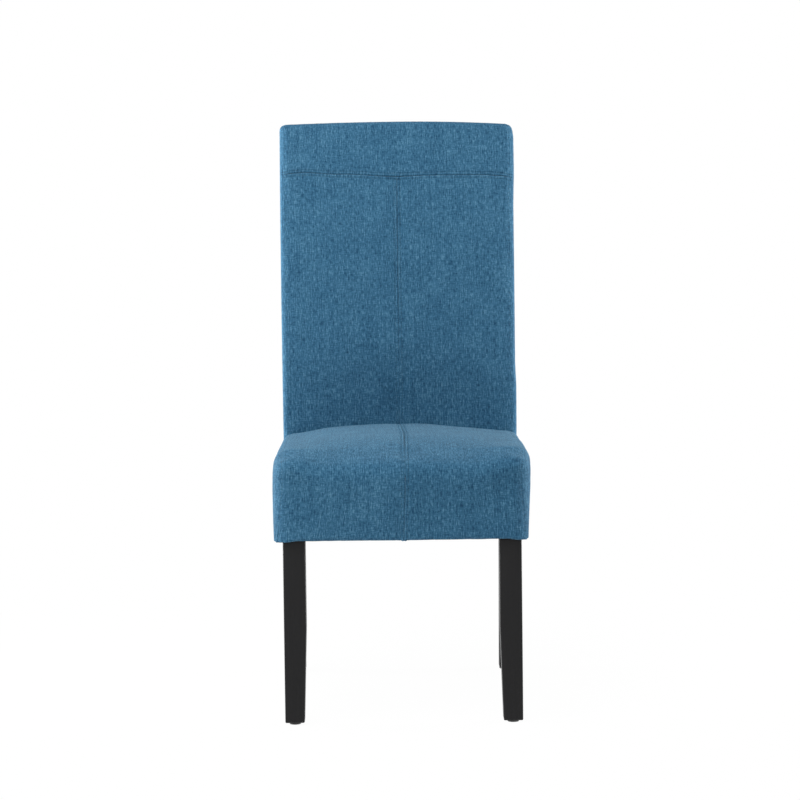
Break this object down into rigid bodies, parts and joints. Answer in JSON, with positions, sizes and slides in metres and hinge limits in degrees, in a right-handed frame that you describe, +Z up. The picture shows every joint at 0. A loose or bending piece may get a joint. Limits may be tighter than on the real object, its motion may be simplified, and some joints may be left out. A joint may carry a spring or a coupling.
{
  "type": "upholstered dining chair",
  "caption": "Armless dining chair with a tall curved padded back, a boxed padded seat, a top-stitched T seam and square black wooden legs, for sitting at a table.",
  "frame": {"origin": "on the floor, under the middle of the overall box", "axes": "+Z up, -Y towards the front of the seat, +X to the right as seen from the front"},
  "size_m": [0.436, 0.6, 1.036],
  "materials": {
    "black_wood": "black stain under satin lacquer",
    "frame_wood": "bare planed hardwood",
    "back_panel_board": "raw thin hardboard",
    "cover_fabric": "blue heathered linen-look weave",
    "foam": "upholstery foam",
    "wadding": "white polyester wadding",
    "webbing": "black elastic webbing",
    "dust_cloth": "black non-woven cloth",
    "steel": "zinc-plated steel",
    "glide_plastic": "moulded nylon"
  },
  "bodies": {
    "root": {"front_leg_left": "black_wood", "front_leg_right": "black_wood", "rear_post_left": "black_wood", "rear_post_right": "black_wood", "front_seat_rail": "frame_wood", "rear_seat_rail": "frame_wood", "side_seat_rail_left": "frame_wood", "side_seat_rail_right": "frame_wood", "front_corner_block_left": "frame_wood", "front_corner_block_right": "frame_wood", "rear_corner_block_left": "frame_wood", "rear_corner_block_right": "frame_wood", "back_top_rail": "frame_wood", "back_middle_rail": "frame_wood", "back_lower_rail": "frame_wood", "seat_frame_dowels": "frame_wood", "back_frame_dowels": "frame_wood", "back_board": "back_panel_board", "seat_top_panel_left": "cover_fabric", "seat_top_panel_right": "cover_fabric", "seat_side_panel_left": "cover_fabric", "seat_side_panel_right": "cover_fabric", "back_front_panel_left": "cover_fabric", "back_front_panel_right": "cover_fabric", "back_side_panel_left": "cover_fabric", "back_side_panel_right": "cover_fabric", "back_yoke_panel": "cover_fabric", "back_top_panel": "cover_fabric", "outside_back_panel": "cover_fabric", "seat_foam": "foam", "back_foam": "foam", "seat_wadding": "wadding", "back_wadding": "wadding", "seat_webbing_long": "webbing", "seat_webbing_cross": "webbing", "back_webbing": "webbing", "dust_cloth": "dust_cloth", "leg_bolts": "steel", "leg_bolt_washers": "steel", "leg_inserts": "steel", "corner_block_screws": "steel", "dust_cloth_staples": "steel", "front_glide_left": "glide_plastic", "front_glide_right": "glide_plastic", "rear_glide_left": "glide_plastic", "rear_glide_right": "glide_plastic"}
  },
  "joints": []
}
